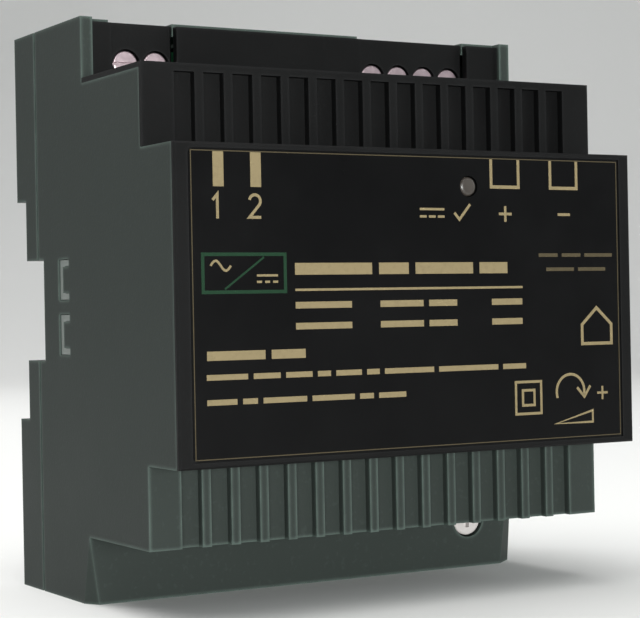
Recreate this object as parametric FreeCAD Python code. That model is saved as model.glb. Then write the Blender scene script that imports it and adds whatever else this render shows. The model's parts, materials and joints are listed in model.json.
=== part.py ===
import FreeCAD, Part
import os

os.makedirs("parts", exist_ok=True)
V = FreeCAD.Vector

# ---------------------------------------------------------------- driving dimensions (mm)
# x runs left to right seen from the front, y runs back from the nose, z runs up
W, D, H = 80.3, 59.5, 90.0
WALL = 2.0                          # side walls, top, bottom
WX = W / 2.0
NOSE_Z0, NOSE_Z1 = 22.6, 68.2       # nose that stands through a distribution-board cut-out
STEP_Y, STEP_Z0, STEP_Z1 = 10.2, 10.4, 80.5
REAR_Y = 31.8                       # front of the terminal level
SEAM_Y = 51.0                       # joint between housing and rear base
LAP = 0.8                           # black covers lap over the grey walls by this much
GAP = 0.1                           # clearance between fixed neighbours
FREE = 0.3                          # clearance round anything that moves

RIB_N, RIB_PITCH, RIB_W, RIB_DEEP = 15, 4.76, 3.3, 1.3
RIB_X0 = -((RIB_N - 1) * RIB_PITCH + RIB_W) / 2.0

RAIL_Z0, RAIL_Z1, RAIL_DEEP = 27.4, 63.05, 3.85
CHAN_Z0, CHAN_Z1, CHAN_DEEP = 37.1, 53.3, 11.1

HOOK_X, HOOK_W, HOOK_REACH = (-28.0, 14.0), 14.0, 1.9

PITCH = 5.08                        # terminal pitch
AC_X = [-31.70 + i * PITCH for i in range(2)]
DC_X = [13.45 + i * PITCH for i in range(4)]
SCREW_Z = 83.3
BLOCK_Y, BLOCK_Z0, BLOCK_Z1 = 33.7, 77.4, 89.6
HEAD_R, HEAD_Y, HEAD_T = 2.1, 34.0, 1.2
SHANK_R, SHANK_END = 1.2, 38.75
CAGE_X, CAGE_Z = 1.95, 2.5          # half width and half height of a wire cage
CAGE_Y0, CAGE_Y1, CAGE_TRAVEL = 38.05, 43.9, 1.75
BAR_Y0, BAR_Y1 = 39.05, 39.65       # contact bar that the wire is drawn against
LEG_Z0, LEG_Z1 = SCREW_Z - 4.9, SCREW_Z - 3.9

PCB_Y, PCB_T = 44.6, 1.6            # component side, board thickness
PCB_X, PCB_Z0, PCB_Z1 = 36.6, 2.8, 87.2
POST_X, POST_Z = 33.6, (13.8, 72.4)

LED_X, LED_Z, LED_R = 9.15, 62.7, 1.5
TRIM_X, TRIM_Z, TRIM_R = 29.8, 8.1, 2.7

LATCH_X, LATCH_STROKE = 8.7, 4.0
LATCH_Z0, LATCH_Z1, LIP_Z = 1.0, 27.0, 29.4

LABEL_X, LABEL_Z0, LABEL_Z1 = 38.0, 23.5, 67.4
LABEL_SINK, LABEL_T = 0.35, 0.25

WIN_Y0, WIN_Y1, WIN_BAR, WIN_ARM = 38.1, 42.3, 1.8, 1.15   # bracket-shaped snap windows
WIN_Z = ((46.7, 53.1), (38.1, 44.5))

SINK_T = 2.2                        # heatsink plates, and where the power devices sit on them
DEVICE_Y = PCB_Y - 20.0
PRIMARY_X, PRIMARY_Z = -8.6, 40.0
SECONDARY_X, SECONDARY_Z = 30.6, 44.0


# ---------------------------------------------------------------- small helpers
def box(x0, x1, y0, y1, z0, z1):
    return Part.makeBox(x1 - x0, y1 - y0, z1 - z0, V(x0, y0, z0))


def cyl(axis, x, y, z, r, length):
    """Cylinder that starts at (x, y, z) and runs along +axis."""
    return Part.makeCylinder(r, length, V(x, y, z), axis)


AX, AY, AZ = V(1, 0, 0), V(0, 1, 0), V(0, 0, 1)


def prism_x(points, x0, x1):
    """Outline in (y, z), extruded across x."""
    wire = Part.makePolygon([V(x0, y, z) for y, z in points + points[:1]])
    return Part.Face(wire).extrude(V(x1 - x0, 0, 0))


def prism_y(points, y0, y1):
    """Outline in (x, z), extruded along y."""
    wire = Part.makePolygon([V(x, y0, z) for x, z in points + points[:1]])
    return Part.Face(wire).extrude(V(0, y1 - y0, 0))


def beyond(p1, p2, p3, size=40.0):
    """Block on the far side of the plane through three points, counterclockwise seen from that side."""
    n = (p2 - p1).cross(p3 - p1).normalize()
    block = Part.makeBox(size, size, size, V(-size / 2, -size / 2, 0))
    block.Placement = FreeCAD.Placement(p1, FreeCAD.Rotation(AZ, n))
    return block


def edges_at(shape, test):
    return [e for e in shape.Edges if test(e)]


def along(edge, axis):
    d = edge.Vertexes[-1].Point - edge.Vertexes[0].Point
    return d.Length > 1e-6 and abs(abs(d.normalize().dot(axis)) - 1) < 1e-6


def save(node, shape):
    """Everything is drawn with y = 0 at the nose; the saved frame has y = 0 at mid depth."""
    shape = shape.removeSplitter()
    if shape.ShapeType == "Compound" and len(shape.Solids) == 1:
        shape = shape.Solids[0]
    assert len(shape.Solids) == 1, "%s has %d solids" % (node, len(shape.Solids))
    assert shape.isValid(), node
    shape.translate(V(0, -D / 2.0, 0))
    shape.exportStep("parts/%s.step" % node)


def save_group(node, shapes):
    """Several equal pieces, such as fasteners, as separate solids of one node."""
    assert all(s.isValid() and len(s.Solids) == 1 for s in shapes), node
    shape = Part.makeCompound([s.Solids[0] for s in shapes])
    shape.translate(V(0, -D / 2.0, 0))
    shape.exportStep("parts/%s.step" % node)


# ---------------------------------------------------------------- housing
def profile(inset, y_back, front=0.0):
    """Stepped side outline, moved in by inset; front is where the nose wall ends."""
    n = inset
    return [(y_back, n), (REAR_Y + n, n), (REAR_Y + n, STEP_Z0 + n), (STEP_Y + n, STEP_Z0 + n),
            (STEP_Y + n, NOSE_Z0 + n), (front, NOSE_Z0 + n), (front, NOSE_Z1 - n),
            (STEP_Y + n, NOSE_Z1 - n), (STEP_Y + n, STEP_Z1 - n), (REAR_Y + n, STEP_Z1 - n),
            (REAR_Y + n, H - n), (y_back, H - n)]


def rib_cuts(z0, z1):
    """The row of narrow recesses in the front of the step."""
    cuts = [box(RIB_X0 + i * RIB_PITCH, RIB_X0 + i * RIB_PITCH + RIB_W, STEP_Y - 1, STEP_Y + RIB_DEEP, z0, z1)
            for i in range(RIB_N)]
    return Part.makeCompound(cuts)


def bracket(xa, xb, z0, z1, gap):
    """Square-bracket outline of a snap window, drawn in by gap, between two depths across the wall."""
    xa, xb = sorted((xa, xb))
    shape = box(xa, xb, WIN_Y1 - WIN_BAR + gap, WIN_Y1 - gap, z0 + gap, z1 - gap)
    for za, zb in ((z0, z0 + WIN_ARM), (z1 - WIN_ARM, z1)):
        shape = shape.fuse(box(xa, xb, WIN_Y0 + gap, WIN_Y1 - gap, za + gap, zb - gap))
    return shape


def make_housing():
    body = prism_x(profile(0, SEAM_Y, LAP), -WX, WX)
    body = body.cut(prism_x(profile(WALL, SEAM_Y + 1, -1.0), -WX + WALL, WX - WALL))
    body = body.cut(rib_cuts(STEP_Z0 - 1, NOSE_Z0 + 0.01))
    # black terminal cover takes over the upper front, the top shelf and the mouth above it
    body = body.cut(box(-WX - 1, WX + 1, STEP_Y - 1, STEP_Y + LAP, NOSE_Z1, STEP_Z1 + 1))
    body = body.cut(box(-WX - 1, WX + 1, STEP_Y - 1, REAR_Y, STEP_Z1 - LAP, STEP_Z1 + 1))
    body = body.cut(box(-WX + WALL, WX - WALL, STEP_Y - 1, REAR_Y + 3, NOSE_Z1, STEP_Z1 + 1))
    body = body.cut(box(-WX + WALL, WX - WALL, REAR_Y - 1, REAR_Y + WALL, STEP_Z1 - 3, H + 1))
    # openings over the two terminal blocks
    for xs in (AC_X, DC_X):
        body = body.cut(box(xs[0] - PITCH / 2 - 0.4, xs[-1] + PITCH / 2 + 0.4, REAR_Y, PCB_Y, H - 3, H + 1))
    # vents in the bottom and top walls
    for i in range(-5, 6):
        body = body.cut(box(i * 6.4 - 0.9, i * 6.4 + 0.9, REAR_Y + 4, SEAM_Y - 4, -1, WALL + 1))
    for i in range(-3, 1):
        body = body.cut(box(i * 6.4 - 0.9, i * 6.4 + 0.9, REAR_Y + 6, SEAM_Y - 4, H - 3, H + 1))
    # trimmer hole
    body = body.cut(cyl(AY, TRIM_X, REAR_Y - 1, TRIM_Z, TRIM_R + FREE, WALL + 3))
    # rail channel passes through the back edge of both side walls
    body = body.cut(box(-WX - 1, WX + 1, D - CHAN_DEEP, SEAM_Y + 1, CHAN_Z0, CHAN_Z1))
    # bracket-shaped snap windows in both side walls
    for side in (-1, 1):
        for z0, z1 in WIN_Z:
            body = body.cut(bracket(side * (WX - WALL - 1), side * (WX + 1), z0, z1, 0.0))
    # lower front corners draw in toward the bottom
    foot = box(-WX - 1, WX + 1, REAR_Y - 1, REAR_Y + 6, -1, STEP_Z0)
    left = beyond(V(-WX, REAR_Y, STEP_Z0), V(-WX, REAR_Y + 2.5, 0), V(-WX + 1.4, REAR_Y, 0))
    right = beyond(V(WX - 2.45, REAR_Y, STEP_Z0), V(WX - 3.8, REAR_Y, 0), V(WX, REAR_Y + 2.0, STEP_Z0))
    body = body.cut(left.common(foot)).cut(right.common(foot))
    # tongue that locates the rear base, set back from the outside so the seam reads as a groove
    groove = prism_x([(SEAM_Y - 0.5, -1), (SEAM_Y + 1, -1), (SEAM_Y + 1, H + 1), (SEAM_Y - 0.5, H + 1)],
                     -WX - 1, WX + 1)
    core = prism_x([(SEAM_Y - 0.6, 0.5), (SEAM_Y + 1, 0.5), (SEAM_Y + 1, H - 0.5), (SEAM_Y - 0.6, H - 0.5)],
                   -WX + 0.5, WX - 0.5)
    return body.cut(groove.cut(core))


# ---------------------------------------------------------------- black covers and label
def make_front_cover():
    plate = box(-WX, WX, 0, LAP, NOSE_Z0, NOSE_Z1)
    ins = WALL + GAP
    plug = box(-WX + ins, WX - ins, LAP, 5.0, NOSE_Z0 + ins, NOSE_Z1 - ins)
    plug = plug.cut(box(-WX + ins + 1.4, WX - ins - 1.4, 2.0, 6.0, NOSE_Z0 + ins + 1.4, NOSE_Z1 - ins - 1.4))
    cover = plate.fuse(plug)
    cover = cover.makeChamfer(0.3, edges_at(cover, lambda e: abs(e.BoundBox.YMax) < 1e-6))
    cover = cover.cut(box(-LABEL_X, LABEL_X, -1, LABEL_SINK, LABEL_Z0, LABEL_Z1))
    return cover.cut(cyl(AY, LED_X, -1, LED_Z, LED_R + GAP, 5))


def make_label():
    half = LABEL_X - GAP
    film = box(-half, half, LABEL_SINK - LABEL_T, LABEL_SINK, LABEL_Z0 + GAP, LABEL_Z1 - GAP)
    film = film.makeFillet(1.0, edges_at(film, lambda e: along(e, AY)))
    return film.cut(cyl(AY, LED_X, -1, LED_Z, LED_R + GAP, 5))


def make_terminal_cover():
    t = WALL + 0.2
    front = box(-WX, WX, STEP_Y, STEP_Y + LAP, NOSE_Z1 + GAP, STEP_Z1)
    shelf = box(-WX, WX, STEP_Y, REAR_Y - GAP, STEP_Z1 - LAP, STEP_Z1)
    ix = WX - WALL - GAP
    front = front.fuse(box(-ix, ix, STEP_Y, STEP_Y + t, NOSE_Z1 + GAP, STEP_Z1))
    shelf = shelf.fuse(box(-ix, ix, STEP_Y, REAR_Y + WALL - GAP, STEP_Z1 - t, STEP_Z1))
    cover = front.fuse(shelf)
    cover = cover.cut(rib_cuts(NOSE_Z1, STEP_Z1 - 1.2))
    # inner foot that stands on the nose roof behind the step
    cover = cover.fuse(box(-ix, ix, STEP_Y + t - 0.1, STEP_Y + t + 1.4, NOSE_Z1 + GAP, NOSE_Z1 + 3))
    # closing panels beside the two terminal blocks
    side = PITCH / 2 + 0.4 + GAP
    spans = ((-ix, AC_X[0] - side), (AC_X[-1] + side, DC_X[0] - side), (DC_X[-1] + side, ix))
    for x0, x1 in spans:
        cover = cover.fuse(box(x0, x1, REAR_Y + 0.6, REAR_Y + WALL - GAP, STEP_Z1 - t, H - 0.6))
    return cover


# ---------------------------------------------------------------- rear base with rail seat
def make_rear_base():
    y0 = SEAM_Y + GAP
    base = box(-WX, WX, y0, D, 0, H)
    base = base.cut(box(-WX + WALL, WX - WALL, y0 - 1, D - WALL, WALL, H - WALL))
    # lips that enter the housing
    ring = box(-WX + WALL + GAP, WX - WALL - GAP, SEAM_Y - 3, y0 + 1, WALL + GAP, H - WALL - GAP)
    ring = ring.cut(box(-WX + WALL + 1.4, WX - WALL - 1.4, SEAM_Y - 4, y0 + 2, WALL + 1.4, H - WALL - 1.4))
    base = base.fuse(ring)
    # walls of the rail seat and of the deeper channel
    seat = box(-WX, WX, D - RAIL_DEEP - WALL, D, RAIL_Z0 - WALL, RAIL_Z1 + WALL)
    ix = WX - WALL - GAP
    chan = box(-ix, ix, D - CHAN_DEEP - 1.4, D - RAIL_DEEP, CHAN_Z0 - 1.6, CHAN_Z1 + 1.6)
    base = base.fuse(seat).fuse(chan)
    base = base.cut(box(-WX - 1, WX + 1, D - RAIL_DEEP, D + 1, RAIL_Z0, RAIL_Z1))
    base = base.cut(box(-WX - 1, WX + 1, D - CHAN_DEEP, D + 1, CHAN_Z0, CHAN_Z1))
    # fixed hooks over the upper edge of the rail, each with the window that its mould core leaves below it
    for x0 in HOOK_X:
        tip = RAIL_Z1 - HOOK_REACH
        hook = prism_x([(D - 2.3, RAIL_Z1 + 0.5), (D - 2.3, tip), (D - 1.2, tip), (D, RAIL_Z1 - 0.8),
                        (D, RAIL_Z1 + 0.5)], x0, x0 + HOOK_W)
        base = base.fuse(hook)
        base = base.cut(box(x0 - 0.2, x0 + HOOK_W + 0.2, D - RAIL_DEEP - WALL - 1, D - RAIL_DEEP,
                            tip - 0.2, RAIL_Z1))
    # guide for the sliding latch
    guide = box(-LATCH_X - 4, LATCH_X + 4, D - 6, D, 0, RAIL_Z0)
    base = base.fuse(guide)
    base = base.cut(box(-LATCH_X - 1.5 - FREE, LATCH_X + 1.5 + FREE, D - 3.9, D - 1.8, -1, RAIL_Z0 + 1))
    base = base.cut(box(-LATCH_X - FREE, LATCH_X + FREE, D - 3.9, D + 1, -1, RAIL_Z0 + 1))
    base = base.fuse(box(-2.5, 2.5, D - 4.2, D - 1.1, 8.3, 11.3))
    # posts for the circuit board
    for x in (-POST_X, POST_X):
        for z in POST_Z:
            base = base.fuse(cyl(AY, x, PCB_Y + PCB_T, z, 3.2, D - 1 - PCB_Y - PCB_T))
            base = base.cut(cyl(AY, x, PCB_Y, z, 1.3, 8))
    return base


def make_latch():
    y0, y1 = D - 3.9 + FREE, D - 0.3
    latch = box(-LATCH_X, LATCH_X, y0, y1, LATCH_Z0, LATCH_Z1)
    latch = latch.fuse(box(-LATCH_X - 1.5, LATCH_X + 1.5, y0, D - 1.8 - FREE, LATCH_Z0 + 2, LATCH_Z1 - 1))
    lip = prism_x([(D - 2.5, LATCH_Z1 - 1), (D - 2.5, LIP_Z), (D - 1.6, LIP_Z), (y1, LIP_Z - 1.4),
                   (y1, LATCH_Z1 - 1)], -LATCH_X, LATCH_X)
    latch = latch.fuse(lip)
    latch = latch.cut(box(-3, 3, y0 - 1, D + 1, 8.0, 22.0))
    return latch.cut(box(-3.2, 3.2, y0 + 1.0, y0 + 2.2, LATCH_Z0 - 1, 5.5))


def make_spring():
    z0, z1, r, wire = 11.3, 22.0, 1.05, 0.25
    turns = 9.0
    length = z1 - z0 - 2 * wire
    helix = Part.makeHelix(length / turns, length, r)
    start = Part.Wire(Part.makeCircle(wire, V(r, 0, 0), V(0, 1, 0)))
    coil = Part.Wire(helix).makePipeShell([start], True, True)
    coil.translate(V(0, D - 2.15, z0 + wire))
    return coil


def make_snap_strip(side):
    """Pale snap strip behind the side wall, whose bracket-shaped studs stand in the wall's windows."""
    outer, inner = WX - WALL - GAP, WX - WALL - GAP - 1.1
    x0, x1 = sorted((side * outer, side * inner))
    strip = box(x0, x1, 34.5, D - CHAN_DEEP - 1.6, CHAN_Z0 + 0.2, CHAN_Z1 + 1.0)
    for z0, z1 in WIN_Z:
        strip = strip.fuse(bracket(side * (inner + 0.5), side * (WX - 0.3), z0, z1, GAP))
    return strip


# ---------------------------------------------------------------- terminals
def make_block(xs):
    x0, x1 = xs[0] - PITCH / 2 - 0.3, xs[-1] + PITCH / 2 + 0.3
    block = box(x0, x1, BLOCK_Y, PCB_Y, BLOCK_Z0, BLOCK_Z1)
    block = block.makeChamfer(0.4, edges_at(block, lambda e: along(e, AZ) and e.BoundBox.YMax < PCB_Y - 1))
    for x in xs:
        block = block.cut(cyl(AY, x, BLOCK_Y - 1, SCREW_Z, HEAD_R + 0.2, HEAD_Y + HEAD_T + 1.2 - BLOCK_Y))
        block = block.cut(cyl(AY, x, BLOCK_Y, SCREW_Z, SHANK_R + FREE, 4))
        # chamber for the cage's travel, wire mouth above it, slots for the contact bar and its leg
        half = CAGE_X + FREE
        block = block.cut(box(x - half, x + half, CAGE_Y0 - CAGE_TRAVEL - FREE, CAGE_Y1 + FREE,
                              SCREW_Z - CAGE_Z - FREE, SCREW_Z + CAGE_Z + FREE))
        block = block.cut(box(x - CAGE_X, x + CAGE_X, BAR_Y1, CAGE_Y1 - 0.7, SCREW_Z + CAGE_Z, BLOCK_Z1 + 1))
        y0, z0 = BAR_Y0 - 0.05, LEG_Z0 - 0.05
        block = block.cut(box(x - 1.15, x + 1.15, y0, BAR_Y1 + 0.05, z0, SCREW_Z - CAGE_Z))
        block = block.cut(box(x - 0.55, x + 0.55, y0, PCB_Y + 1, z0, LEG_Z1 + 0.05))
    return block


def make_screw(x):
    screw = cyl(AY, x, HEAD_Y, SCREW_Z, HEAD_R, HEAD_T)
    screw = screw.makeFillet(0.25, edges_at(screw, lambda e: abs(e.BoundBox.YMax - HEAD_Y) < 1e-6))
    screw = screw.fuse(cyl(AY, x, HEAD_Y + HEAD_T, SCREW_Z, SHANK_R, SHANK_END - HEAD_Y - HEAD_T))
    return screw.cut(box(x - 3, x + 3, HEAD_Y - 1, HEAD_Y + 0.7, SCREW_Z - 0.3, SCREW_Z + 0.3))


def make_cage(x):
    cage = box(x - CAGE_X, x + CAGE_X, CAGE_Y0, CAGE_Y1, SCREW_Z - CAGE_Z, SCREW_Z + CAGE_Z)
    cage = cage.makeFillet(0.4, edges_at(cage, lambda e: along(e, AZ)))
    half = CAGE_X - 0.5
    cage = cage.cut(box(x - half, x + half, CAGE_Y0 + 0.7, CAGE_Y1 - 0.7, SCREW_Z - 3, SCREW_Z + 3))
    return cage.cut(cyl(AY, x, CAGE_Y0 - 1, SCREW_Z, SHANK_R + 0.05, 2))


def make_contact(x):
    bar = box(x - 1.1, x + 1.1, BAR_Y0, BAR_Y1, LEG_Z0, SCREW_Z + 2.1)
    return bar.fuse(box(x - 0.5, x + 0.5, BAR_Y0, PCB_Y + PCB_T + 1.0, LEG_Z0, LEG_Z1))


# ---------------------------------------------------------------- circuit board and parts
def make_pcb():
    board = box(-PCB_X, PCB_X, PCB_Y, PCB_Y + PCB_T, PCB_Z0, PCB_Z1)
    board = board.makeFillet(1.5, edges_at(board, lambda e: along(e, AY)))
    for x in (-POST_X, POST_X):
        for z in POST_Z:
            board = board.cut(cyl(AY, x, PCB_Y - 1, z, 1.7, 4))
    for x in AC_X + DC_X:
        board = board.cut(box(x - 0.6, x + 0.6, PCB_Y - 1, PCB_Y + 3, LEG_Z0 - 0.1, LEG_Z1 + 0.1))
    return board


def make_pcb_screw(x, z):
    screw = cyl(AY, x, PCB_Y - 1.8, z, 2.6, 1.8)
    screw = screw.makeFillet(0.5, edges_at(screw, lambda e: abs(e.BoundBox.YMax - PCB_Y + 1.8) < 1e-6))
    screw = screw.fuse(cyl(AY, x, PCB_Y, z, 1.25, 7))
    for a, b in ((0.35, 1.5), (1.5, 0.35)):
        screw = screw.cut(box(x - a, x + a, PCB_Y - 3, PCB_Y - 0.9, z - b, z + b))
    return screw


def make_sheet():
    sheet = box(-PCB_X + 1, PCB_X - 1, PCB_Y + PCB_T + 0.12, PCB_Y + PCB_T + 0.42, PCB_Z0 + 10, LEG_Z0 - 0.8)
    for x in (-POST_X, POST_X):
        for z in POST_Z:
            sheet = sheet.cut(cyl(AY, x, PCB_Y, z, 3.6, 6))
    return sheet


def can(x, z, r, height):
    """Electrolytic capacitor standing on the board."""
    y0 = PCB_Y - height
    body = cyl(AY, x, y0, z, r, height - 0.3)
    body = body.makeFillet(0.6, edges_at(body, lambda e: abs(e.BoundBox.YMax - y0) < 1e-6))
    groove = cyl(AY, x, PCB_Y - 3.2, z, r + 1, 0.8).cut(cyl(AY, x, PCB_Y - 4, z, r - 0.35, 3))
    body = body.cut(groove)
    for s in (-1, 1):
        body = body.fuse(cyl(AY, x + s * r * 0.4, PCB_Y - 0.4, z, 0.35, 0.4))
    for a, b in ((0.12, r * 0.6), (r * 0.6, 0.12)):
        body = body.cut(box(x - a, x + a, y0 - 1, y0 + 0.2, z - b, z + b))
    return body


def on_board(x0, x1, z0, z1, height, edge=0.4):
    body = box(x0, x1, PCB_Y - height, PCB_Y - 0.3, z0, z1)
    body = body.makeFillet(edge, edges_at(body, lambda e: along(e, AY)))
    for share in (0.2, 0.8):
        body = body.fuse(cyl(AY, x0 + (x1 - x0) * share, PCB_Y - 0.4, (z0 + z1) / 2.0, 0.4, 0.4))
    return body


def make_fuse():
    x0, x1, z, y = -30.6, -10.6, 71.8, PCB_Y - 4.2
    fuse = cyl(AX, x0, y, z, 2.6, x1 - x0)
    fuse = fuse.cut(cyl(AX, x0 + 5, y, z, 3.0, x1 - x0 - 10).cut(cyl(AX, x0, y, z, 2.4, 30)))
    for x in (x0 + 1.5, x1 - 3.5):
        fuse = fuse.fuse(box(x, x + 2, y, PCB_Y, z - 1.8, z + 1.8))
    return fuse


def make_bridge():
    x0, z0 = -11.0, 65.0
    body = box(x0, x0 + 20.0, PCB_Y - 17.0, PCB_Y - 2.5, z0, z0 + 3.6)
    notch = prism_y([(x0 - 0.1, z0 - 0.1), (x0 + 2.0, z0 - 0.1), (x0 - 0.1, z0 + 2.0)], PCB_Y - 18, PCB_Y)
    body = body.cut(notch)
    for i in range(4):
        x = x0 + 1.9 + i * 5.08
        body = body.fuse(box(x, x + 1.0, PCB_Y - 3, PCB_Y, z0 + 1.3, z0 + 2.3))
    return body


CM_X, CM_Y, CM_Z = -27.0, PCB_Y - 10.4, 46.8


def ring_x(x, half, r_in, r_out):
    ring = cyl(AX, x - half, CM_Y, CM_Z, r_out, 2 * half)
    return ring.cut(cyl(AX, x - half - 1, CM_Y, CM_Z, r_in, 2 * half + 2))


def make_cm_core():
    return ring_x(CM_X, 3.0, 4.5, 7.5)


def make_cm_winding():
    """One wound sleeve round the core, open at the front where the two windings part."""
    coil = ring_x(CM_X, 4.1, 3.4, 8.6).cut(ring_x(CM_X, 3.05, 4.45, 7.55))
    coil = coil.cut(box(CM_X - 9, CM_X + 9, CM_Y - 10, CM_Y, CM_Z - 1.6, CM_Z + 1.6))
    for i in range(-5, 6, 2):
        coil = coil.cut(Part.makeTorus(8.5, 0.5, V(CM_X + i * 0.62, CM_Y, CM_Z), AX))
    for x in (CM_X - 3.6, CM_X + 3.6):
        for z in (CM_Z - 3.0, CM_Z + 3.0):
            coil = coil.fuse(cyl(AY, x, CM_Y + 6.5, z, 0.45, PCB_Y - CM_Y - 6.5))
    return coil


TR_X0, TR_X1, TR_Z0, TR_Z1, TR_H = -2.2, 24.8, 29.0, 56.0, 25.0


def make_transformer_core():
    y0 = PCB_Y - TR_H
    core = box(TR_X0, TR_X1, y0 + 7.0, PCB_Y - 6.0, TR_Z0, TR_Z1)
    for z0, z1 in ((TR_Z0 + 4.5, TR_Z0 + 9.5), (TR_Z1 - 9.5, TR_Z1 - 4.5)):
        core = core.cut(box(TR_X0 + 5.0, TR_X1 - 5.0, 0, PCB_Y, z0, z1))
    return core.makeFillet(0.5, edges_at(core, lambda e: along(e, AY) and e.Length > 10))


def make_transformer_bobbin():
    y0 = PCB_Y - TR_H
    x0, x1, z0, z1 = TR_X0 + 5.3, TR_X1 - 5.3, TR_Z0 + 5.0, TR_Z1 - 5.0
    low = box(x0, x1, PCB_Y - 5.7, PCB_Y - 1.0, TR_Z0 + 0.5, TR_Z1 - 0.5)
    for i in range(4):
        for z in (TR_Z0 + 2.0, TR_Z1 - 2.0):
            low = low.fuse(cyl(AY, x0 + 2.5 + i * 3.8, PCB_Y - 1.1, z, 0.4, 1.1))
    top = box(x0, x1, y0, y0 + 1.2, z0 - 2, z1 + 2)
    for z in (z0 - 0.2, z1 - 1.0):
        low = low.fuse(box(x0 + 1, x1 - 1, y0, PCB_Y - 5, z, z + 1.2))
    return low.fuse(top)


def make_transformer_winding():
    y0 = PCB_Y - TR_H
    x0, x1 = TR_X0 + 5.5, TR_X1 - 5.5
    coil = box(x0, x1, y0 + 1.5, y0 + 6.7, TR_Z0 + 6.4, TR_Z1 - 6.4)
    return coil.makeFillet(2.0, edges_at(coil, lambda e: along(e, AX) or along(e, AZ)))


def to220(face_x, z):
    """Power device lying flat against the left face of a heatsink plate, its screw hole level with z."""
    tab = box(face_x - 1.3, face_x, DEVICE_Y - 3.0, DEVICE_Y + 12.5, z - 5.0, z + 5.0)
    dev = tab.fuse(box(face_x - 4.4, face_x, DEVICE_Y + 3.3, DEVICE_Y + 12.5, z - 5.0, z + 5.0))
    for i in (-1, 0, 1):
        leg_z = z + i * 2.54
        dev = dev.fuse(box(face_x - 2.7, face_x - 2.2, DEVICE_Y + 12.0, PCB_Y, leg_z - 0.4, leg_z + 0.4))
    return dev.cut(cyl(AX, face_x - 6, DEVICE_Y, z, 1.8, 7))


def make_device_screw(face_x, z):
    """M3 screw with a slotted head, through the device's tab into the plate."""
    tab_x = face_x - 1.35
    head = cyl(AX, tab_x - 1.8, DEVICE_Y, z, 2.6, 1.8)
    slot = box(tab_x - 3.0, tab_x - 1.3, DEVICE_Y - 2.7, DEVICE_Y + 2.7, z - 0.4, z + 0.4)
    return head.cut(slot).fuse(cyl(AX, tab_x - 0.2, DEVICE_Y, z, 1.5, 4.6))


RESISTORS = [(-14.0 + i * 4.4, 9.0) for i in range(8)]


def make_resistor(x, z):
    """Quarter-watt axial resistor lying on the board, along z."""
    y = PCB_Y - 1.7
    body = cyl(AZ, x, y, z - 3.0, 0.95, 6.0)
    for end in (z - 3.2, z + 1.8):
        body = body.fuse(cyl(AZ, x, y, end, 1.2, 1.4))
    body = body.fuse(cyl(AZ, x, y, z - 4.0, 0.25, 8.0))
    for end in (z - 4.0, z + 4.0):
        body = body.fuse(cyl(AY, x, y - 0.5, end, 0.4, PCB_Y - y + 0.5))
    return body


def heatsink(x, z0, z1, height, fins, hole_z):
    """Upright plate at x, with short fins on its right side."""
    y0 = PCB_Y - height
    sink = box(x, x + SINK_T, y0, PCB_Y - 0.3, z0, z1)
    n = int((height - 4) / 4.2)
    for i in range(n):
        y = y0 + 1.0 + i * 4.2
        sink = sink.fuse(box(x + SINK_T - 0.1, x + SINK_T + fins, y, y + 1.1, z0, z1))
    for z in (z0 + 3, z1 - 3):
        sink = sink.fuse(cyl(AY, x + 1.1, PCB_Y - 0.4, z, 0.6, 0.4))
    return sink.cut(cyl(AX, x - 1, DEVICE_Y, hole_z, 1.55, 8))


def make_y_cap():
    disc = cyl(AZ, -5.0, PCB_Y - 6.6, 59.6, 4.6, 3.6)
    disc = disc.makeFillet(1.2, edges_at(disc, lambda e: len(e.Vertexes) == 1))
    for x in (-7.5, -2.5):
        disc = disc.fuse(cyl(AY, x, PCB_Y - 4.2, 61.4, 0.35, 4.2))
    return disc


def make_ntc():
    disc = cyl(AX, -11.6, PCB_Y - 5.6, 80.0, 4.1, 3.4)
    disc = disc.makeFillet(1.1, edges_at(disc, lambda e: len(e.Vertexes) == 1))
    for z in (77.6, 82.4):
        disc = disc.fuse(cyl(AY, -9.9, PCB_Y - 4.0, z, 0.4, 4.0))
    return disc


def chip(x0, x1, z0, z1, pins, height=3.6):
    body = box(x0, x1, PCB_Y - height, PCB_Y - 0.6, z0, z1)
    step = (x1 - x0) / pins
    for i in range(pins):
        x = x0 + (i + 0.5) * step
        for za, zb in ((z0 - 0.9, z0 + 0.1), (z1 - 0.1, z1 + 0.9)):
            leg = box(x - 0.3, x + 0.3, PCB_Y - 1.9, PCB_Y - 1.4, za, zb)
            tip = za if za < z0 - 0.5 else zb - 0.4
            body = body.fuse(leg).fuse(box(x - 0.3, x + 0.3, PCB_Y - 1.9, PCB_Y, tip, tip + 0.4))
    return body.cut(cyl(AY, x0 + 1.1, PCB_Y - height - 1, (z0 + z1) / 2, 0.5, 1.2))


def make_output_choke():
    core = cyl(AY, 33.0, PCB_Y - 16.0, 21.0, 3.6, 15.4)
    for y in (PCB_Y - 16.0, PCB_Y - 2.4):
        core = core.fuse(cyl(AY, 33.0, y, 21.0, 4.0, 1.6))
    for i in range(8):
        ring = Part.makeTorus(3.75, 0.42, V(33.0, PCB_Y - 13.4 + i * 1.3, 21.0), AY)
        core = core.fuse(ring)
    for s in (-2.4, 2.4):
        core = core.fuse(cyl(AY, 33.0 + s, PCB_Y - 1.0, 21.0, 0.5, 1.0))
    return core


def make_led_pipe():
    tip = LABEL_SINK - 0.25
    pipe = cyl(AY, LED_X, tip, LED_Z, LED_R, 38.0)
    pipe = pipe.makeFillet(0.6, edges_at(pipe, lambda e: abs(e.BoundBox.YMax - tip) < 1e-6))
    return pipe.fuse(cyl(AY, LED_X, 2.0 + GAP, LED_Z, LED_R + 0.4, 1.4))


def make_led():
    lamp = box(LED_X - 1.6, LED_X + 1.6, PCB_Y - 2.4, PCB_Y, LED_Z - 1.4, LED_Z + 1.4)
    return lamp.fuse(Part.makeSphere(1.1, V(LED_X, PCB_Y - 2.4, LED_Z)))


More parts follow.
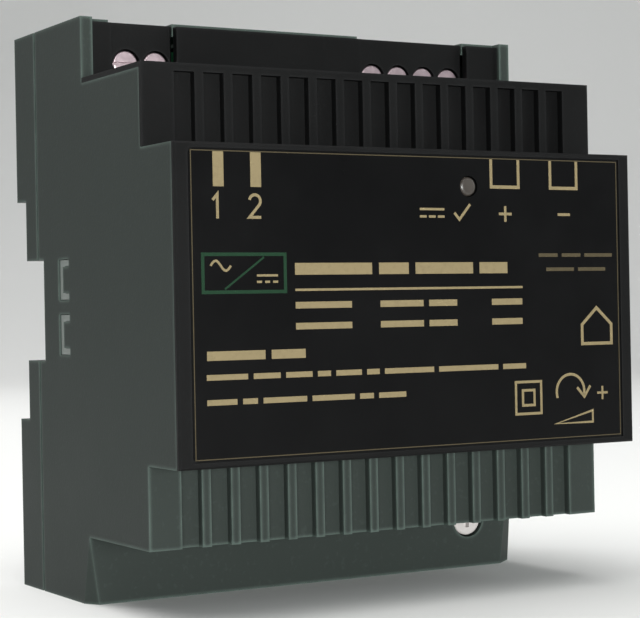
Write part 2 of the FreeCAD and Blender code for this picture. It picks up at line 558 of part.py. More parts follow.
def make_trimmer_body():
    body = box(TRIM_X - 3.0, TRIM_X + 3.0, PCB_Y - 4.8, PCB_Y - 0.3, TRIM_Z - 3.0, TRIM_Z + 3.0)
    for x, z in ((-2.0, -2.0), (2.0, -2.0), (0, 2.0)):
        body = body.fuse(cyl(AY, TRIM_X + x, PCB_Y - 0.4, TRIM_Z + z, 0.35, 0.4))
    return body.cut(cyl(AY, TRIM_X, PCB_Y - 5, TRIM_Z, 1.25, 3.6))


def make_trimmer_knob():
    y0 = REAR_Y + 0.3
    knob = cyl(AY, TRIM_X, y0, TRIM_Z, TRIM_R, PCB_Y - 4.8 - FREE - y0)
    knob = knob.makeFillet(0.35, edges_at(knob, lambda e: abs(e.BoundBox.YMax - y0) < 1e-6))
    knob = knob.fuse(cyl(AY, TRIM_X, PCB_Y - 5.2, TRIM_Z, 1.2, 3.4))
    knob = knob.cut(box(TRIM_X - 2.2, TRIM_X + 2.2, y0 - 1, y0 + 1.0, TRIM_Z - 0.4, TRIM_Z + 0.4))
    return knob.cut(box(TRIM_X - 0.4, TRIM_X + 0.4, y0 - 1, y0 + 1.0, TRIM_Z - 1.4, TRIM_Z + 1.4))


# ---------------------------------------------------------------- write every node
save("housing", make_housing())
save("front_cover", make_front_cover())
save("terminal_cover", make_terminal_cover())
save("label", make_label())
save("rear_base", make_rear_base())
save("rail_latch", make_latch())
save("latch_spring", make_spring())
save("snap_strip_left", make_snap_strip(-1))
save("snap_strip_right", make_snap_strip(1))
save("block_ac", make_block(AC_X))
save("block_dc", make_block(DC_X))
for name, xs in (("ac", AC_X), ("dc", DC_X)):
    for i, x in enumerate(xs):
        save("screw_%s_%d" % (name, i + 1), make_screw(x))
        save("cage_%s_%d" % (name, i + 1), make_cage(x))
        save("contact_%s_%d" % (name, i + 1), make_contact(x))
save("pcb", make_pcb())
save("insulation_sheet", make_sheet())
save_group("pcb_screws", [make_pcb_screw(x, z) for x in (-POST_X, POST_X) for z in POST_Z])
save("led_pipe", make_led_pipe())
save("led", make_led())
save("trimmer_body", make_trimmer_body())
save("trimmer_knob", make_trimmer_knob())
save("fuse", make_fuse())
save("ntc", make_ntc())
save("x_cap", on_board(-35.5, -17.5, 57.0, 66.0, 16.0))
save("cm_choke_core", make_cm_core())
save("cm_choke_winding", make_cm_winding())
save("bridge", make_bridge())
save("bulk_cap", can(-22.5, 24.5, 11.0, 31.0))
save("transformer_core", make_transformer_core())
save("transformer_bobbin", make_transformer_bobbin())
save("transformer_winding", make_transformer_winding())
save("heatsink_primary", heatsink(PRIMARY_X, 14.0, 46.0, 28.0, 2.9, PRIMARY_Z))
save("mosfet", to220(PRIMARY_X, PRIMARY_Z))
save("heatsink_secondary", heatsink(SECONDARY_X, 30.0, 58.0, 28.0, 3.3, SECONDARY_Z))
save("rectifier", to220(SECONDARY_X, SECONDARY_Z))
save("output_cap_1", can(14.6, 70.6, 5.0, 20.0))
save("output_cap_2", can(25.4, 70.6, 5.0, 20.0))
save("output_choke", make_output_choke())
device_places = ((PRIMARY_X, PRIMARY_Z), (SECONDARY_X, SECONDARY_Z))
save_group("heatsink_screws", [make_device_screw(x, z) for x, z in device_places])
save("y_cap", make_y_cap())
save_group("resistors", [make_resistor(x, z) for x, z in RESISTORS])
save("optocoupler", chip(-4.5, 0.5, 16.0, 22.4, 2))
save("control_ic", chip(5.0, 14.6, 15.0, 21.4, 4))
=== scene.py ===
import json
import math
import bmesh
import bpy
from mathutils import Matrix, Vector


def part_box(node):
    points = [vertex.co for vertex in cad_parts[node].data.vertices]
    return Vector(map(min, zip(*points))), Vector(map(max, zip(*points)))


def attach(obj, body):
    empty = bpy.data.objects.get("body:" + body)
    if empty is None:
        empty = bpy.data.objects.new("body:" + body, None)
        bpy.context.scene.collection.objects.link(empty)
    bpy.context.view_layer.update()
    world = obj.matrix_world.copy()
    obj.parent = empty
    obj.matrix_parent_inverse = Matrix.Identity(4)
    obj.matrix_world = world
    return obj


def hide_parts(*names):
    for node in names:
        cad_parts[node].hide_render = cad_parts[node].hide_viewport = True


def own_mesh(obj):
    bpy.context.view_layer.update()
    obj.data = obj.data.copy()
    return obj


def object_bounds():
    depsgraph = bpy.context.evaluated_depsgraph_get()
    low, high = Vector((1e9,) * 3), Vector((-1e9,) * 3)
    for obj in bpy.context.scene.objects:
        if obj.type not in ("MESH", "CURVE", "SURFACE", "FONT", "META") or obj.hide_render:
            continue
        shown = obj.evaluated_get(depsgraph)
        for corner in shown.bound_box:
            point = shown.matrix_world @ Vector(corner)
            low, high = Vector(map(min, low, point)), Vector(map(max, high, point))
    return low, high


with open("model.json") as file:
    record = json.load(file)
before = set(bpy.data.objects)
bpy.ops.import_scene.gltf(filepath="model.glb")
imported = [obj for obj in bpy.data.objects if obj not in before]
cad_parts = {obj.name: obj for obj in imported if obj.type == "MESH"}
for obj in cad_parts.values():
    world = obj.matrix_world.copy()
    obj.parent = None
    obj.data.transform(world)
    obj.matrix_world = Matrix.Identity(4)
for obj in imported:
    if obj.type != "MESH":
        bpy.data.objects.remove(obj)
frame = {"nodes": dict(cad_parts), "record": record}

cad_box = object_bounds()
MM = 0.001
NODES = frame["nodes"]


# ================================================================ materials
def new_material(name):
    mat = bpy.data.materials.new(name)
    mat.use_nodes = True
    tree = mat.node_tree
    shader = tree.nodes["Principled BSDF"]
    return mat, tree, shader


def add(tree, kind, **values):
    """A new shader node; each value sets the node's own setting of that name, or else its input."""
    node = tree.nodes.new(kind)
    for key, value in values.items():
        if hasattr(node, key):
            setattr(node, key, value)
        else:
            node.inputs[key.replace("_", " ")].default_value = value
    return node


def object_coords(tree, scale=(1, 1, 1)):
    coords = add(tree, "ShaderNodeTexCoord")
    mapping = add(tree, "ShaderNodeMapping", Scale=scale)
    tree.links.new(coords.outputs["Object"], mapping.inputs["Vector"])
    return mapping.outputs["Vector"]


def noise(tree, coords, scale, detail=3.0, roughness=0.55):
    node = add(tree, "ShaderNodeTexNoise", Scale=scale, Detail=detail, Roughness=roughness)
    tree.links.new(coords, node.inputs["Vector"])
    return node.outputs["Fac"]


def remap(tree, value, low, high, out_low, out_high):
    node = add(tree, "ShaderNodeMapRange", From_Min=low, From_Max=high, To_Min=out_low, To_Max=out_high)
    tree.links.new(value, node.inputs["Value"])
    return node.outputs["Result"]


def mix_colours(tree, factor, first, second):
    node = add(tree, "ShaderNodeMix", data_type="RGBA")
    tree.links.new(factor, node.inputs["Factor"])
    for key, colour in (("A", first), ("B", second)):
        socket = [s for s in node.inputs if s.name == key and s.type == "RGBA"][0]
        if isinstance(colour, (tuple, list)):
            socket.default_value = (*colour[:3], 1)
        else:
            tree.links.new(colour, socket)
    return [s for s in node.outputs if s.type == "RGBA"][0]


def dimmed(colour, share):
    return tuple(c * share for c in colour)


def painted_edge_highlight_mask(tree, reach):
    """Painted highlight: bright within reach of convex edges, a pale edge sheen painted into the colour."""
    inward = add(tree, "ShaderNodeAmbientOcclusion", samples=8, inside=True, only_local=True, Distance=reach)
    return remap(tree, inward.outputs["AO"], 0.55, 0.95, 1.0, 0.0)


def set_bump(tree, shader, height, strength, distance):
    bump = add(tree, "ShaderNodeBump", Strength=strength, Distance=distance)
    tree.links.new(height, bump.inputs["Height"])
    tree.links.new(bump.outputs["Normal"], shader.inputs["Normal"])


HIGHLIGHT_REACH = 0.6 * MM             # how far in from a convex edge the painted edge highlight reaches


def moulded(name, colour, worn, rough=(0.42, 0.58), grain=2600.0, bump=0.18, shade=0.93, edge_highlight_strength=0.4,
            specular=0.4, edge_highlight_colour=None):
    """Moulded plastic: spark-eroded grain, faint flow clouding, dust in the pores and a painted highlight
    along convex edges.
    """
    mat, tree, shader = new_material(name)
    at = object_coords(tree)
    fine = noise(tree, at, grain, 2.0, 0.6)
    broad = noise(tree, at, 45.0, 4.0, 0.6)
    base = mix_colours(tree, remap(tree, broad, 0.35, 0.68, 0.0, 1.0), dimmed(colour, shade), colour)
    speck = remap(tree, noise(tree, at, grain * 0.45, 1.0), 0.62, 0.74, 0.0, 0.12)
    base = mix_colours(tree, speck, base, worn)
    # painted highlight: convex edges are mixed towards a paler colour, scaled by the strength value and
    # broken up by noise
    edge = add(tree, "ShaderNodeMath", operation="MULTIPLY")
    tree.links.new(painted_edge_highlight_mask(tree, HIGHLIGHT_REACH), edge.inputs[0])
    tree.links.new(remap(tree, noise(tree, at, 320.0, 3.0), 0.3, 0.7, edge_highlight_strength * 0.6, edge_highlight_strength), edge.inputs[1])
    # the paler edge colour is painted highlight; the worn colour stands in for it where no edge highlight
    # colour is given
    base = mix_colours(tree, edge.outputs[0], base, edge_highlight_colour or worn)
    tree.links.new(base, shader.inputs["Base Color"])
    tree.links.new(remap(tree, broad, 0.3, 0.7, *rough), shader.inputs["Roughness"])
    shader.inputs["Specular IOR Level"].default_value = specular
    set_bump(tree, shader, fine, bump, 0.00012)
    return mat


def metal(name, colour, tint, rough, scale=(900, 900, 900), bump=0.10):
    """Plated or drawn metal: fine scratches, uneven plating and darker handling marks."""
    mat, tree, shader = new_material(name)
    at = object_coords(tree, scale)
    fine = noise(tree, at, 2.0, 4.0, 0.7)
    broad = noise(tree, object_coords(tree), 260.0, 3.0)
    base = mix_colours(tree, remap(tree, broad, 0.3, 0.7, 0.0, 1.0), colour, tint)
    tree.links.new(base, shader.inputs["Base Color"])
    shader.inputs["Metallic"].default_value = 1.0
    tree.links.new(remap(tree, fine, 0.25, 0.75, *rough), shader.inputs["Roughness"])
    set_bump(tree, shader, fine, bump, 0.00005)
    return mat


def ink(name, colour, worn):
    """Screen-printed ink: slightly uneven cover, matt against the film."""
    mat, tree, shader = new_material(name)
    at = object_coords(tree)
    cover = noise(tree, at, 1400.0, 4.0, 0.7)
    base = mix_colours(tree, remap(tree, cover, 0.5, 0.8, 0.0, 0.6), colour, worn)
    tree.links.new(base, shader.inputs["Base Color"])
    tree.links.new(remap(tree, cover, 0.3, 0.7, 0.45, 0.65), shader.inputs["Roughness"])
    shader.inputs["Specular IOR Level"].default_value = 0.15
    set_bump(tree, shader, cover, 0.15, 0.00004)
    return mat


def clear(name, colour, rough, transmission):
    """Clear or tinted plastic or glass: faint clouding and an uneven polish."""
    mat, tree, shader = new_material(name)
    at = object_coords(tree)
    cloud = noise(tree, at, 380.0, 3.0)
    base = mix_colours(tree, remap(tree, cloud, 0.3, 0.7, 0.0, 1.0), dimmed(colour, 0.9), colour)
    tree.links.new(base, shader.inputs["Base Color"])
    tree.links.new(remap(tree, cloud, 0.3, 0.7, rough, rough + 0.12), shader.inputs["Roughness"])
    shader.inputs["Transmission Weight"].default_value = transmission
    shader.inputs["IOR"].default_value = 1.49
    return mat


def board():
    """Green solder resist with woven glass showing faintly and copper pour underneath."""
    mat, tree, shader = new_material("circuit_board")
    at = object_coords(tree)
    pour = remap(tree, noise(tree, at, 120.0, 0.0), 0.47, 0.50, 0.0, 1.0)
    base = mix_colours(tree, pour, (0.012, 0.085, 0.035), (0.02, 0.15, 0.06))
    tree.links.new(base, shader.inputs["Base Color"])
    weave = add(tree, "ShaderNodeTexWave", wave_type="BANDS", bands_direction="DIAGONAL", Scale=900.0)
    tree.links.new(at, weave.inputs["Vector"])
    shader.inputs["Roughness"].default_value = 0.32
    set_bump(tree, shader, weave.outputs["Fac"], 0.08, 0.00003)
    return mat


def wound(name, colour, painted_groove_shade, direction, pitch):
    """Enamelled wire: fine parallel turns, darker towards the grooves between turns as painted shade."""
    mat, tree, shader = new_material(name)
    at = object_coords(tree)
    turns = add(tree, "ShaderNodeTexWave", wave_type="BANDS", bands_direction=direction, Scale=pitch)
    tree.links.new(at, turns.inputs["Vector"])
    base = mix_colours(tree, turns.outputs["Fac"], painted_groove_shade, colour)
    tree.links.new(base, shader.inputs["Base Color"])
    shader.inputs["Metallic"].default_value = 0.6
    shader.inputs["Roughness"].default_value = 0.34
    set_bump(tree, shader, turns.outputs["Fac"], 0.5, 0.0002)
    return mat


GREY = (0.0220, 0.0275, 0.0248)
GREY_WORN = (0.052, 0.068, 0.061)
# painted highlight colour for the convex edges of the grey plastic
GREY_EDGE_HIGHLIGHT = (0.070, 0.094, 0.083)
# the worn colours of the black plastic and the film are their dust specks and also their painted edge
# highlight
BLACK = (0.0018, 0.0018, 0.0019)
BLACK_DUST_AND_HIGHLIGHT = (0.010, 0.010, 0.0105)
FILM = (0.0012, 0.0012, 0.0013)
FILM_DUST_AND_HIGHLIGHT = (0.004, 0.004, 0.0043)
CREAM = (0.165, 0.130, 0.070)
GREEN = (0.0040, 0.023, 0.0095)

# the worn colour is both dust specks and, where no edge highlight colour is given, the painted edge
# highlight; the wear value sets the strength of the painted edge highlight
PLASTICS = {
    "grey_plastic": dict(colour=GREY, worn=GREY_WORN, edge_highlight_colour=GREY_EDGE_HIGHLIGHT, rough=(0.50, 0.56), shade=0.96,
                         edge_highlight_strength=0.8, specular=0.12),
    "black_cover": dict(colour=BLACK, worn=BLACK_DUST_AND_HIGHLIGHT, rough=(0.40, 0.55), grain=2400.0, bump=0.14,
                        specular=0.13),
    "label_film": dict(colour=FILM, worn=FILM_DUST_AND_HIGHLIGHT, rough=(0.26, 0.36), grain=900.0, bump=0.02, specular=0.1),
    "latch_plastic": dict(colour=(0.010, 0.010, 0.011), worn=(0.04, 0.04, 0.04), rough=(0.35, 0.5),
                          grain=1800.0),
    "pale_plastic": dict(colour=(0.15, 0.165, 0.155), worn=(0.24, 0.26, 0.25), rough=(0.35, 0.5),
                         grain=1500.0, bump=0.1),
    "terminal_plastic": dict(colour=BLACK, worn=BLACK_DUST_AND_HIGHLIGHT, rough=(0.38, 0.5), specular=0.15),
    "white_plastic": dict(colour=(0.42, 0.39, 0.38), worn=(0.55, 0.52, 0.50), rough=(0.3, 0.42),
                          grain=1800.0, bump=0.08),
    "insulation": dict(colour=(0.62, 0.60, 0.50), worn=(0.7, 0.68, 0.6), rough=(0.2, 0.3), grain=500.0,
                       bump=0.04),
    "trimmer_case": dict(colour=(0.03, 0.09, 0.32), worn=(0.1, 0.2, 0.45), rough=(0.25, 0.38),
                         grain=1500.0, bump=0.08),
    "disc_green": dict(colour=(0.02, 0.09, 0.04), worn=(0.06, 0.16, 0.08), rough=(0.25, 0.4), grain=600.0,
                       bump=0.2),
    "disc_blue": dict(colour=(0.03, 0.12, 0.42), worn=(0.1, 0.2, 0.5), rough=(0.25, 0.4), grain=600.0,
                      bump=0.2),
    "film_capacitor": dict(colour=(0.62, 0.42, 0.05), worn=(0.75, 0.6, 0.2), rough=(0.25, 0.38),
                           grain=1500.0, bump=0.08),
    "epoxy_black": dict(colour=(0.012, 0.012, 0.013), worn=(0.06, 0.06, 0.06), rough=(0.5, 0.65),
                        grain=2200.0),
    "bobbin_plastic": dict(colour=(0.03, 0.024, 0.02), worn=(0.1, 0.09, 0.08), rough=(0.4, 0.55),
                           grain=1500.0),
    "winding_tape": dict(colour=(0.68, 0.48, 0.05), worn=(0.75, 0.6, 0.2), rough=(0.18, 0.3), grain=300.0,
                         bump=0.1),
    "resistor_body": dict(colour=(0.45, 0.32, 0.17), worn=(0.6, 0.5, 0.35), rough=(0.25, 0.4),
                          grain=1200.0, bump=0.08),
    "capacitor_sleeve": dict(colour=(0.018, 0.024, 0.06), worn=(0.1, 0.1, 0.16), rough=(0.2, 0.32),
                             grain=700.0, bump=0.05),
    "ferrite": dict(colour=(0.022, 0.022, 0.024), worn=(0.09, 0.09, 0.095), rough=(0.45, 0.6),
                    grain=1400.0, bump=0.3),
}
METALS = {
    "nickel_screw": dict(colour=(0.72, 0.57, 0.61), tint=(0.55, 0.44, 0.47), rough=(0.28, 0.45)),
    "plated_cage": dict(colour=(0.62, 0.62, 0.60), tint=(0.5, 0.5, 0.49), rough=(0.25, 0.45)),
    "tinned_copper": dict(colour=(0.66, 0.58, 0.50), tint=(0.55, 0.42, 0.33), rough=(0.25, 0.42)),
    "spring_steel": dict(colour=(0.5, 0.5, 0.52), tint=(0.38, 0.38, 0.4), rough=(0.2, 0.35)),
    "board_screw": dict(colour=(0.6, 0.6, 0.61), tint=(0.5, 0.5, 0.5), rough=(0.22, 0.4)),
    "heatsink_alloy": dict(colour=(0.70, 0.71, 0.72), tint=(0.6, 0.61, 0.62), rough=(0.3, 0.5),
                           scale=(60, 2500, 60), bump=0.2),
}
MATERIALS = {
    # the second, darker colour of each winding is painted shade in the grooves between turns
    "copper_winding": wound("copper_winding", (0.62, 0.24, 0.08), (0.20, 0.07, 0.02), "X", 620.0),
    "wound_ferrite": wound("wound_ferrite", (0.55, 0.20, 0.07), (0.12, 0.05, 0.02), "Y", 500.0),
    "clear_plastic": clear("clear_plastic", (0.04, 0.033, 0.028), 0.28, 0.2),
    "lamp": clear("lamp", (0.35, 0.75, 0.35), 0.15, 0.5),
    "fuse_glass": clear("fuse_glass", (0.85, 0.9, 0.9), 0.05, 0.9),
    "circuit_board": board(),
}
for name, look in PLASTICS.items():
    MATERIALS[name] = moulded(name, **look)
for name, look in METALS.items():
    MATERIALS[name] = metal(name, **look)

INK = ink("ink_cream", CREAM, dimmed(CREAM, 0.72))
INK_DIM = ink("ink_dim", dimmed(CREAM, 0.3), dimmed(CREAM, 0.2))
INK_GREEN = ink("ink_green", GREEN, dimmed(GREEN, 0.7))

slot_of = {entry["node"]: entry["material_slot"] for entry in frame["record"]["subparts"]}
for node, obj in NODES.items():
    obj.data.materials.clear()
    obj.data.materials.append(MATERIALS[slot_of[node]])


# ================================================================ softened moulded edges
EDGE_WIDTHS = {"housing": 0.35, "rear_base": 0.35, "front_cover": 0.2, "terminal_cover": 0.25,
               "block_ac": 0.2, "block_dc": 0.2, "rail_latch": 0.3, "snap_strip_left": 0.12,
               "snap_strip_right": 0.12, "trimmer_knob": 0.08}
SHARP_ANGLE = math.radians(35.0)
for node, width in EDGE_WIDTHS.items():
    bevel = NODES[node].modifiers.new("soft_edges", "BEVEL")
    bevel.width = width * MM
    bevel.segments = 2
    bevel.limit_method = "ANGLE"
    bevel.angle_limit = SHARP_ANGLE
    bevel.use_clamp_overlap = False
    bevel.harden_normals = False


# ================================================================ the latch's spring
def mesh_object(name, bm, smooth):
    """A scene object made of what bm holds; bm is freed."""
    mesh = bpy.data.meshes.new(name)
    bm.to_mesh(mesh)
    bm.free()
    for face in mesh.polygons:
        face.use_smooth = smooth
    obj = bpy.data.objects.new(name, mesh)
    bpy.context.scene.collection.objects.link(obj)
    return obj


def coil(name, low, high, wire, turns, around=12, steps=28):
    """A helical spring standing along z that fills the box from low to high."""
    centre = (low + high) / 2
    radius = (high.x - low.x) / 2 - wire
    length = high.z - low.z - 2 * wire
    total = int(turns * steps)
    bm = bmesh.new()
    rings = []
    for i in range(total + 1):
        a = math.tau * i / steps
        out = Vector((math.cos(a), math.sin(a), 0))
        at = Vector((centre.x, centre.y, low.z + wire + length * i / total)) + out * radius
        rings.append([bm.verts.new(at + out * wire * math.cos(t) + Vector((0, 0, wire * math.sin(t))))
                      for t in (math.tau * k / around for k in range(around))])
    for a, b in zip(rings, rings[1:]):
        for k in range(around):
            bm.faces.new((a[k], a[(k + 1) % around], b[(k + 1) % around], b[k]))
    bm.faces.new(rings[0])
    bm.faces.new(rings[-1][::-1])
    bmesh.ops.recalc_face_normals(bm, faces=bm.faces)
    return mesh_object(name, bm, smooth=True)


SPRING_WIRE, SPRING_TURNS = 0.25 * MM, 9        # wire radius and number of turns
spring_low, spring_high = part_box("latch_spring")
spring = coil("latch_spring_coil", spring_low, spring_high, SPRING_WIRE, SPRING_TURNS)
spring.data.materials.append(MATERIALS["spring_steel"])
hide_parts("latch_spring")
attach(spring, "case")
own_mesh(spring)


# ================================================================ printed label
label_low, label_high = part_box("label")
FACE_Y = label_low.y
INK_T = 0.04 * MM
ORIGIN_X = cad_box[0].x           # label drawings count x in mm from the left side of the case
LEFT, RIGHT = (label_low.x - ORIGIN_X) / MM, (label_high.x - ORIGIN_X) / MM
MITRE_MIN = 0.35                  # keeps the mitre of a sharp corner short

# stroke widths of the printing, in mm
HAIR, SLASH, DASH, RULE, SIGN, SQUARE, PEN, BOLD = 0.14, 0.3, 0.32, 0.34, 0.36, 0.4, 0.42, 0.5


def ribbon_points(points, width, closed):
    """Left and right edges of a flat stroke through (x, z) points, with mitred corners."""
    count = len(points)
    sides = []
    for i, p in enumerate(points):
        before = points[(i - 1) % count] if closed or i > 0 else None
        after = points[(i + 1) % count] if closed or i < count - 1 else None
        d1 = (p - before).normalized() if before is not None else (after - p).normalized()
        d2 = (after - p).normalized() if after is not None else d1
        n1, n2 = Vector((-d1.y, d1.x)), Vector((-d2.y, d2.x))
        mitre = (n1 + n2).normalized()
        reach = width / 2 / max(MITRE_MIN, mitre.dot(n1))
        sides.append((p + mitre * reach, p - mitre * reach))
    return sides


def stroke(bm, points, width, closed=False):
    """A raised printed line on the label; points are (x, z) in mm from the lower left of the case."""
    flat = [Vector((x * MM, z * MM)) for x, z in points]
    sides = ribbon_points(flat, width * MM, closed)
    rows = []
    for left, right in sides:
        rows.append([bm.verts.new((p.x + ORIGIN_X, y, p.y)) for p in (left, right)
                     for y in (FACE_Y, FACE_Y - INK_T)])
    count = len(rows)
    for i in range(count if closed else count - 1):
        a, b = rows[i], rows[(i + 1) % count]
        bm.faces.new((a[1], a[3], b[3], b[1]))
        bm.faces.new((a[0], b[0], b[2], a[2]))
        bm.faces.new((a[0], a[1], b[1], b[0]))
        bm.faces.new((a[2], b[2], b[3], a[3]))
    if not closed:
        bm.faces.new((rows[0][0], rows[0][2], rows[0][3], rows[0][1]))
        bm.faces.new((rows[-1][0], rows[-1][1], rows[-1][3], rows[-1][2]))


def arc(cx, cz, r, start, end, steps):
    return [(cx + r * math.cos(math.radians(start + (end - start) * i / steps)),
             cz + r * math.sin(math.radians(start + (end - start) * i / steps))) for i in range(steps + 1)]


def printed(name, material, strokes):
    """strokes: list of (points, width, closed)."""
    bm = bmesh.new()
    for points, width, closed in strokes:
        stroke(bm, points, width, closed)
    bmesh.ops.recalc_face_normals(bm, faces=bm.faces)
    obj = mesh_object(name, bm, smooth=False)
    obj.data.materials.append(material)
    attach(obj, "case")
    return obj


def bar(x0, x1, z, height):
    """One solid printed bar, as a stroke along x."""
    return ([(x0, z), (x1, z)], height, False)


def upright(x, z0, z1, width):
    return ([(x, z0), (x, z1)], width, False)


def frame_of(x0, x1, z0, z1, width):
    return ([(x0, z0), (x1, z0), (x1, z1), (x0, z1)], width, True)


def word_bars(x0, x1, z, height, shares, space):
    """A line of plain bars in place of wording; shares are the bars' relative lengths."""
    total = x1 - x0 - space * (len(shares) - 1)
    strokes, x = [], x0
    for share in shares:
        width = total * share / sum(shares)
        strokes.append(bar(x, x + width, z, height))
        x += width + space
    return strokes


def plus(x, z, size, width):
    return [bar(x - size / 2, x + size / 2, z, width), upright(x, z - size / 2, z - width / 2, width),
            upright(x, z + width / 2, z + size / 2, width)]


def dashes(x, z, step, length, width):
    """The three short dashes under the line of a direct-current sign."""
    return [bar(x + i * step, x + i * step + length, z, width) for i in range(3)]


def digit_one(x, z, h, width):
    return [([(x - h * 0.22, z + h * 0.26), (x, z + h * 0.5), (x, z - h * 0.5)], width, False)]


def digit_two(x, z, h, width):
    r = h * 0.26
    top = arc(x, z + h * 0.5 - r, r, 170, -35, 12)
    return [(top + [(x - r, z - h * 0.5 + width / 2), (x + r * 1.1, z - h * 0.5 + width / 2)], width, False)]


printed("label_border", INK_DIM, [frame_of(LEFT + 0.35, RIGHT - 0.35, 23.9, 67.0, HAIR)])

# input side: two terminal bars, numbered
for number, x, drawing in ((1, 6.85, digit_one), (2, 12.8, digit_two)):
    printed("terminal_bar_%d" % number, INK, [upright(x, 62.0, 66.9, 1.7)])
    printed("terminal_number_%d" % number, INK, drawing(x - 0.2, 59.2, 3.4, PEN))

# output side: brackets that join the paired terminals, marked by polarity
BRACKET_HALF, BRACKET_Z, SIGN_Z, SIGN_SIZE = 2.55, (62.7, 66.9), 58.6, 2.4
for sign, x in (("plus", 56.0), ("minus", 67.2)):
    x0, x1 = x - BRACKET_HALF, x + BRACKET_HALF
    z0, z1 = BRACKET_Z
    printed("output_bracket_" + sign, INK, [([(x0, z1), (x0, z0), (x1, z0), (x1, z1)], BOLD, False)])
    minus = [bar(x - SIGN_SIZE / 2, x + SIGN_SIZE / 2, SIGN_Z, PEN)]
    printed("output_sign_" + sign, INK, plus(x, SIGN_Z, SIGN_SIZE, PEN) if sign == "plus" else minus)

# direct-current sign and tick beside the indicator
printed("dc_sign", INK, [bar(40.4, 44.8, 59.2, SIGN)] + dashes(40.4, 58.1, 1.6, 1.2, SIGN))
printed("good_tick", INK, [([(46.6, 58.7), (47.5, 57.7), (49.5, 60.0)], PEN, False)])

# converter sign: alternating in, direct out, in a green frame
printed("converter_frame", INK_GREEN, [frame_of(4.2, 17.3, 47.2, 52.5, BOLD)])
printed("converter_slash", INK_GREEN, [([(7.6, 47.6), (13.9, 52.1)], SLASH, False)])
wave = [(5.4 + t * 0.2, 50.9 + 0.7 * math.sin(t * math.pi / 8)) for t in range(17)]
printed("converter_wave", INK, [(wave, RULE, False)])
printed("converter_direct", INK, [bar(12.7, 16.1, 49.5, DASH)] + dashes(12.7, 48.6, 1.3, 0.8, DASH))

# wording is replaced by plain bars
printed("title_bars", INK, word_bars(18.9, 56.2, 50.4, 1.7, (5, 2, 4, 2), 1.2))
printed("title_rule", INK, [bar(18.9, 59.0, 47.4, RULE)])
RATING_H, SMALL_H, TEXT_H = 0.95, 0.55, 0.8        # heights of the bars in each block
for row, z in (("upper", 45.2), ("lower", 42.2)):
    name_bar = word_bars(18.9, 28.3, z, RATING_H, (1,), 1)
    value_bars = word_bars(33.2, 46.8, z, RATING_H, (3, 2), 1.0)
    printed("rating_bars_" + row, INK, name_bar + value_bars + word_bars(53.2, 58.9, z, RATING_H, (1,), 1))
printed("note_bars", INK_DIM, word_bars(62.2, 76.6, 52.3, SMALL_H, (2, 2, 3), 0.8) +
        word_bars(63.6, 75.2, 50.1, SMALL_H, (3, 3), 0.8))
printed("heading_bar", INK, word_bars(4.6, 20.4, 38.3, 1.3, (5, 3), 1.0))
printed("text_bars_upper", INK, word_bars(4.5, 59.4, 35.3, TEXT_H, (3, 2, 2, 1, 2, 1, 4, 5, 2), 0.9))
printed("text_bars_lower", INK, word_bars(4.5, 37.4, 31.8, TEXT_H, (2, 1, 3, 3, 1, 2), 0.9))

# nested squares and the indoor sign
printed("nested_squares", INK, [frame_of(57.4, 62.2, 27.9, 32.8, SQUARE),
                                frame_of(58.7, 60.9, 29.2, 31.5, SQUARE)])
house = [(70.4, 38.4), (76.2, 38.4), (76.2, 41.4), (73.3, 44.0), (70.4, 41.4)]
printed("indoor_sign", INK, [(house, BOLD, True)])

# adjustment arrow over a rising wedge
printed("adjust_arc", INK, [(arc(67.9, 31.0, 2.7, 200, -12, 24), PEN, False),
                            ([(69.2, 31.6), (70.6, 30.1), (71.8, 31.8)], PEN, False)])
printed("adjust_plus", INK, plus(74.2, 30.6, 2.1, SIGN))
printed("adjust_wedge", INK, [([(65.0, 26.1), (72.2, 26.1), (72.2, 27.9)], RULE, True)])


# ================================================================ stage, light, camera
def stage_floor():
    """A pale sweep: flat under the object, rising smoothly far behind it."""
    bm = bmesh.new()
    half, front, run, radius, top, steps = 2.56, -1.6, 0.9, 0.7, 2.4, 16
    outline = [(front, 0.0), (0.0, 0.0), (run, 0.0)]
    outline += [(run + radius * math.sin(a), radius - radius * math.cos(a))
                for a in [math.pi / 2 * i / steps for i in range(1, steps + 1)]]
    outline.append((run + radius, top))
    rows = [[bm.verts.new((x, y, z)) for x in (-half, half)] for y, z in outline]
    for a, b in zip(rows, rows[1:]):
        bm.faces.new((a[0], a[1], b[1], b[0]))
    floor = mesh_object("floor", bm, smooth=True)
    floor.rotation_euler = (0, 0, -math.radians(VIEW_AZIMUTH))
    paper, _, shader = new_material("floor_paper")
    shader.inputs["Base Color"].default_value = (0.78, 0.78, 0.77, 1)
    shader.inputs["Roughness"].default_value = 0.85
    floor.data.materials.append(paper)


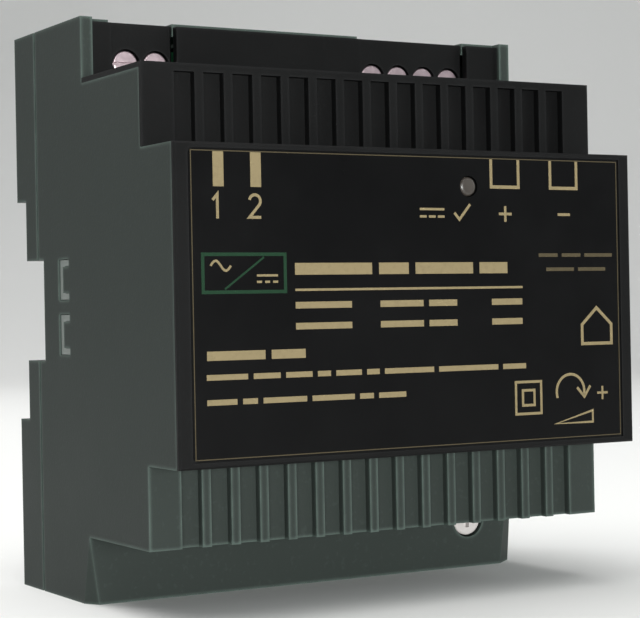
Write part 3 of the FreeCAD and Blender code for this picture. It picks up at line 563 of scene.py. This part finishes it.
def area_light(name, place, target, size, power, colour):
    lamp = bpy.data.lights.new(name, "AREA")
    lamp.shape = "RECTANGLE"
    lamp.size, lamp.size_y = size
    lamp.energy = power
    lamp.color = colour
    obj = bpy.data.objects.new(name, lamp)
    obj.location = place
    aim = Vector(target) - Vector(place)
    obj.rotation_euler = aim.to_track_quat("-Z", "Y").to_euler()
    bpy.context.scene.collection.objects.link(obj)


VIEW_AZIMUTH, VIEW_TILT, VIEW_ROLL = 30.22, 0.0, -1.07
EYE = Vector((-152.1, -261.2, 44.6)) * MM
LENS = 104.7


def make_camera():
    a, e, r = (math.radians(v) for v in (VIEW_AZIMUTH, VIEW_TILT, VIEW_ROLL))
    ahead = Vector((math.sin(a) * math.cos(e), math.cos(a) * math.cos(e), math.sin(e)))
    level = ahead.cross(Vector((0, 0, 1))).normalized()
    above = level.cross(ahead)
    right = level * math.cos(r) + above * math.sin(r)
    up = above * math.cos(r) - level * math.sin(r)
    data = bpy.data.cameras.new("camera")
    data.lens, data.sensor_width = LENS, 36.0
    data.clip_start, data.clip_end = 0.01, 20.0
    cam = bpy.data.objects.new("camera", data)
    cam.matrix_world = Matrix.Translation(EYE) @ Matrix((right, up, -ahead)).transposed().to_4x4()
    bpy.context.scene.collection.objects.link(cam)
    bpy.context.scene.camera = cam


stage_floor()
make_camera()
centre = (cad_box[0] + cad_box[1]) / 2
for name, place, size, power, colour in (
        ("key", (-0.30, -0.78, 0.07), (0.7, 0.12), 11.0, (0.97, 1.0, 0.985)),
        ("top", (-0.15, -0.1, 0.95), (0.9, 0.9), 8.0, (1.0, 0.995, 0.98)),
        ("fill", (0.85, -0.35, 0.35), (0.6, 0.6), 2.0, (0.93, 1.0, 0.985)),
        ("back", (-0.3, 0.8, 0.7), (0.8, 0.5), 6.0, (1.0, 1.0, 1.0))):
    area_light(name, place, centre, size, power, colour)

world = bpy.data.worlds.new("studio")
world.use_nodes = True
world.node_tree.nodes["Background"].inputs["Color"].default_value = (0.86, 0.88, 0.9, 1)
world.node_tree.nodes["Background"].inputs["Strength"].default_value = 0.26
bpy.context.scene.world = world
bpy.context.scene.view_settings.view_transform = "Standard"
